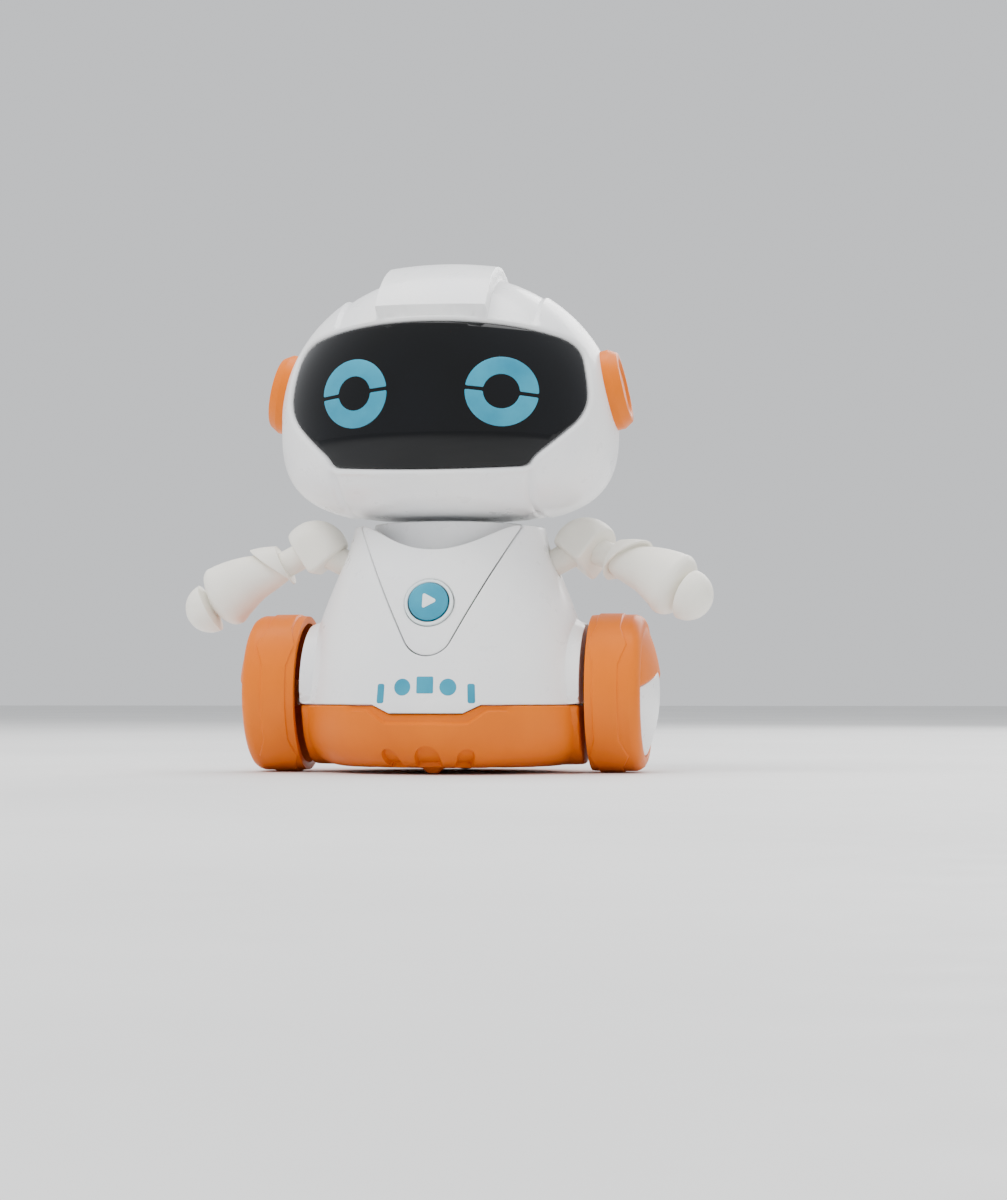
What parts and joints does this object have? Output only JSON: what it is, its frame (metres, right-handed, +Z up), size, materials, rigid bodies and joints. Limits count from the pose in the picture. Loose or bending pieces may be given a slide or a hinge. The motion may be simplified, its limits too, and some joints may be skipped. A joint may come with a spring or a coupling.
{
  "type": "educational coding robot",
  "caption": "Two-wheeled educational robot with a domed head, glossy face visor, swinging jointed arms, chest push button and geared wheel drives.",
  "frame": {"origin": "on the floor under the middle of the robot, between its wheels", "axes": "+Z up, the robot faces -Y, +X towards the robot's own left hand"},
  "size_m": [0.1329, 0.0733, 0.1248],
  "materials": {
    "white_shell": "moulded, satin gloss",
    "ivory_arm": "moulded, satin",
    "orange_plastic": "moulded, satin",
    "visor_black": "polished black",
    "teal_button": "satin",
    "clear_ring": "frosted translucent",
    "dark_plastic": "fine texture",
    "natural_plastic": "uncoloured, smooth",
    "circuit_board": "green solder resist",
    "steel": "plated",
    "brass": "turned",
    "cell_can": "plain shrink sleeve"
  },
  "bodies": {
    "torso": {"torso_front_shell": "white_shell", "torso_rear_shell": "white_shell", "chest_bib_panel": "white_shell", "button_light_ring": "clear_ring", "tact_switch": "dark_plastic", "main_circuit_board": "circuit_board", "speaker": "dark_plastic", "line_sensor_board": "circuit_board", "neck_collar": "white_shell", "neck_clip": "steel", "base_shell": "orange_plastic", "base_screw_1": "steel", "base_screw_2": "steel", "base_screw_3": "steel", "base_screw_4": "steel", "battery_door": "orange_plastic", "battery_door_screw": "steel", "battery_box": "dark_plastic", "battery_cell_1": "cell_can", "battery_cell_2": "cell_can", "battery_cell_3": "cell_can", "battery_contact_left": "steel", "battery_contact_right": "steel", "caster_housing": "dark_plastic", "power_switch_body": "dark_plastic", "gearbox_frame_left": "natural_plastic", "gearbox_frame_right": "natural_plastic", "gearbox_cover_left": "natural_plastic", "gearbox_cover_right": "natural_plastic", "cluster_pin_left": "steel", "cluster_pin_right": "steel", "motor_left": "steel", "motor_right": "steel"},
    "head": {"head_front_shell": "white_shell", "head_rear_shell": "white_shell", "face_visor": "visor_black", "ear_cap_left": "orange_plastic", "ear_cap_right": "orange_plastic", "eye_light_board": "circuit_board", "eye_light_guide_left": "clear_ring", "eye_light_guide_right": "clear_ring"},
    "upper_arm_left": {"shoulder_left": "ivory_arm"},
    "upper_arm_right": {"shoulder_right": "ivory_arm"},
    "lower_arm_left": {"forearm_left": "ivory_arm"},
    "lower_arm_right": {"forearm_right": "ivory_arm"},
    "button": {"chest_button": "teal_button"},
    "switch_knob": {"power_switch_knob": "dark_plastic"},
    "drive_wheel_left": {"wheel_left": "orange_plastic", "wheel_hub_cap_left": "white_shell", "axle_left": "steel", "wheel_gear_left": "natural_plastic"},
    "drive_wheel_right": {"wheel_right": "orange_plastic", "wheel_hub_cap_right": "white_shell", "axle_right": "steel", "wheel_gear_right": "natural_plastic"},
    "cluster_left": {"reduction_gear_left": "natural_plastic"},
    "cluster_right": {"reduction_gear_right": "natural_plastic"},
    "motor_shaft_left": {"motor_pinion_left": "brass"},
    "motor_shaft_right": {"motor_pinion_right": "brass"},
    "caster": {"caster_ball": "steel"}
  },
  "joints": [
    {"name": "head_turn", "type": "hinge", "parent": "torso", "child": "head", "pos_m": [0, 0, 0.061], "axis": [0, 0, 1], "range_deg": [-45, 45]},
    {"name": "shoulder_left_swing", "type": "hinge", "parent": "torso", "child": "upper_arm_left", "pos_m": [0.0338, 0, 0.0553], "axis": [0.887, 0, 0.4618], "range_deg": [-64, 86]},
    {"name": "shoulder_right_swing", "type": "hinge", "parent": "torso", "child": "upper_arm_right", "pos_m": [-0.0338, 0, 0.0553], "axis": [-0.887, 0, 0.4618], "range_deg": [-60, 90]},
    {"name": "forearm_left_twist", "type": "hinge", "parent": "upper_arm_left", "child": "lower_arm_left", "pos_m": [0.0338, 0, 0.0553], "axis": [0.8487, -0.3593, -0.3882], "range_deg": [-60, 60]},
    {"name": "forearm_right_twist", "type": "hinge", "parent": "upper_arm_right", "child": "lower_arm_right", "pos_m": [-0.0338, 0, 0.0553], "axis": [-0.887, 0, -0.4618], "range_deg": [-60, 60]},
    {"name": "button_press", "type": "slide", "parent": "torso", "child": "button", "axis": [0, 0.9394, -0.3429], "range_m": [0, 0.001], "stiffness_N_per_m": 400, "springref_m": -0.0005},
    {"name": "power_slide", "type": "slide", "parent": "torso", "child": "switch_knob", "axis": [1, 0, 0], "range_m": [0, 0.0044]},
    {"name": "wheel_left_spin", "type": "hinge", "parent": "torso", "child": "drive_wheel_left", "pos_m": [0.042, 0, 0.0194], "axis": [1, 0, 0], "continuous": true},
    {"name": "wheel_right_spin", "type": "hinge", "parent": "torso", "child": "drive_wheel_right", "pos_m": [-0.042, 0, 0.0194], "axis": [1, 0, 0], "continuous": true},
    {"name": "cluster_left_spin", "type": "hinge", "parent": "torso", "child": "cluster_left", "pos_m": [0.0267, 0.0048, 0.02771], "axis": [1, 0, 0], "continuous": true},
    {"name": "cluster_right_spin", "type": "hinge", "parent": "torso", "child": "cluster_right", "pos_m": [-0.0267, 0.0048, 0.02771], "axis": [1, 0, 0], "continuous": true},
    {"name": "motor_left_spin", "type": "hinge", "parent": "torso", "child": "motor_shaft_left", "pos_m": [0.0235, 0.01433, 0.02656], "axis": [1, 0, 0], "continuous": true},
    {"name": "motor_right_spin", "type": "hinge", "parent": "torso", "child": "motor_shaft_right", "pos_m": [-0.0235, 0.01433, 0.02656], "axis": [1, 0, 0], "continuous": true},
    {"name": "caster_roll", "type": "hinge", "parent": "torso", "child": "caster", "pos_m": [0, 0.0231, 0.0042], "axis": [1, 0, 0], "continuous": true}
  ],
  "couplings": [
    {"joint": "cluster_left_spin", "follows": "wheel_left_spin", "ratio": -3},
    {"joint": "cluster_right_spin", "follows": "wheel_right_spin", "ratio": -3},
    {"joint": "motor_left_spin", "follows": "wheel_left_spin", "ratio": 9},
    {"joint": "motor_right_spin", "follows": "wheel_right_spin", "ratio": 9}
  ]
}
